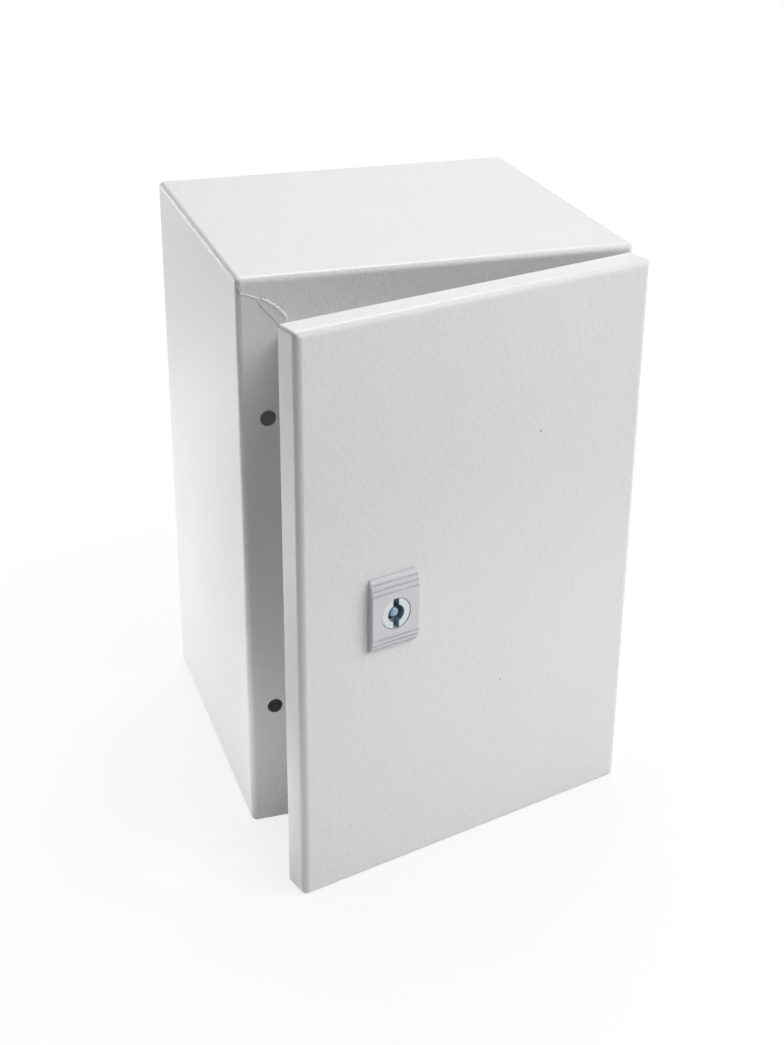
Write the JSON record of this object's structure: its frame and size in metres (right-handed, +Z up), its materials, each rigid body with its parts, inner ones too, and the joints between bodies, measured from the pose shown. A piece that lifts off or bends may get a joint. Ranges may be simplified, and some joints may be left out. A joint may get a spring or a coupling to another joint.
{
  "type": "steel wall enclosure",
  "caption": "Box-shaped steel wall enclosure with a hinged front door on concealed hinges, a quarter-turn double-bit lock, mounting plate and gland plate.",
  "frame": {"origin": "centre of the four wall holes, on the outside of the back", "axes": "+Z up the height, +Y into the wall, so the door faces -Y, and +X to the hinge side"},
  "size_m": [0.2011, 0.251, 0.3],
  "materials": {
    "powder_coat": "light grey textured powder coat, satin",
    "galvanised_steel": "galvanised sheet, faint spangle",
    "zinc_plate": "bright zinc plate",
    "hinge_pin_steel": "turned steel",
    "cast_zinc": "die-cast zinc, blue passivated",
    "lock_plastic": "moulded light grey polyamide",
    "seal_foam": "foamed polyurethane, dark",
    "seal_rubber": "black rubber"
  },
  "bodies": {
    "enclosure": {"side_and_back_wrap": "powder_coat", "top_panel": "powder_coat", "bottom_panel": "powder_coat", "corner_welds": "powder_coat", "mounting_plate": "galvanised_steel", "plate_studs": "zinc_plate", "plate_washers": "zinc_plate", "plate_nuts": "zinc_plate", "gland_gasket": "seal_foam", "gland_plate": "galvanised_steel", "gland_studs": "zinc_plate", "gland_washers": "zinc_plate", "gland_nuts": "zinc_plate", "body_earth_stud": "zinc_plate", "body_earth_washer": "zinc_plate", "body_earth_nut": "zinc_plate", "hinge_bracket_upper": "zinc_plate", "hinge_bracket_lower": "zinc_plate", "hinge_pin_upper": "hinge_pin_steel", "hinge_pin_lower": "hinge_pin_steel", "hinge_washers": "zinc_plate", "hinge_screws": "zinc_plate"},
    "door": {"door_panel": "powder_coat", "door_gasket": "seal_foam", "door_earth_stud": "zinc_plate", "door_earth_washer": "zinc_plate", "door_earth_nut": "zinc_plate", "hinge_leaf_upper": "zinc_plate", "hinge_leaf_lower": "zinc_plate", "lock_housing": "lock_plastic", "lock_seal": "seal_rubber", "lock_nut": "lock_plastic"},
    "lock": {"lock_rotor": "cast_zinc", "lock_cam": "zinc_plate", "cam_washer": "zinc_plate", "cam_screw": "zinc_plate"}
  },
  "joints": [
    {"name": "door_hinge", "type": "hinge", "parent": "enclosure", "child": "door", "pos_m": [0.0943, -0.1913, 0], "axis": [0, 0, 1], "range_deg": [-15.6, 104.4]},
    {"name": "lock_turn", "type": "hinge", "parent": "door", "child": "lock", "pos_m": [-0.04167, -0.2383, -0.00165], "axis": [0.2689, -0.9632, 0], "range_deg": [0, 90]}
  ]
}
